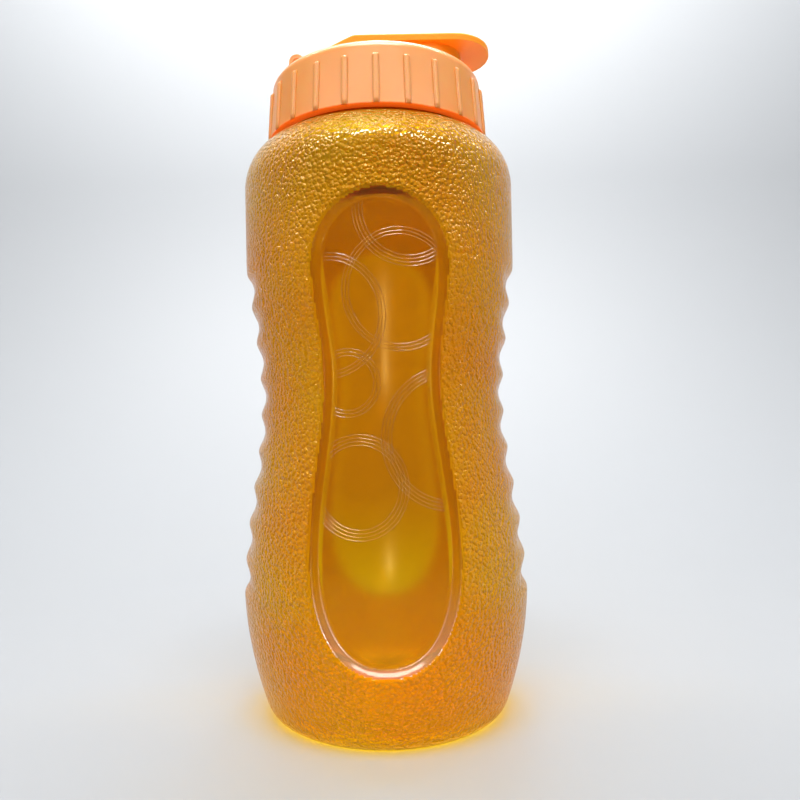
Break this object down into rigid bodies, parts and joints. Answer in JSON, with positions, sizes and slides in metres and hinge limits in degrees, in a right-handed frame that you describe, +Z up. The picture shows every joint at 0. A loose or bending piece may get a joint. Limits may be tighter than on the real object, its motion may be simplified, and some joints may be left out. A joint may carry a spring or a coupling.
{
  "type": "drinking bottle",
  "caption": "Wide-mouth translucent drinking bottle with a gripped waist, sunk oval panels, a ribbed screw cap and a flip-up lid over its spout.",
  "frame": {"origin": "centre of the foot, on the surface the bottle stands on", "axes": "+Z up along the bottle's axis, -Y out of the front panel, +X towards the lid's thumb tab"},
  "size_m": [0.0954, 0.0928, 0.222],
  "materials": {
    "amber_shell": "translucent amber plastic, pebbled outside, smooth in the sunk panels",
    "seal": "soft matt sealing ring",
    "orange_cap": "satin moulded orange plastic",
    "orange_pin": "moulded orange plastic",
    "orange_lid": "satin moulded orange plastic",
    "plug": "soft pale stopper"
  },
  "bodies": {
    "bottle": {"bottle_body": "amber_shell"},
    "seal": {"seal_ring": "seal"},
    "cap": {"screw_cap": "orange_cap", "hinge_pin": "orange_pin"},
    "lid": {"flip_lid": "orange_lid", "spout_plug": "plug"}
  },
  "joints": [
    {"name": "cap_lift", "type": "slide", "parent": "bottle", "child": "seal", "axis": [0, 0, 1], "range_m": [0, 0.018]},
    {"name": "cap_turn", "type": "hinge", "parent": "seal", "child": "cap", "pos_m": [0, 0, 0.2], "axis": [0, 0, 1], "range_deg": [0, 1080]},
    {"name": "lid_hinge", "type": "hinge", "parent": "cap", "child": "lid", "pos_m": [-0.0255, 0, 0.2127], "axis": [0, -1, 0], "range_deg": [0, 135]}
  ],
  "couplings": [
    {"joint": "cap_lift", "follows": "cap_turn", "m_per_rad": 0.00095493}
  ]
}
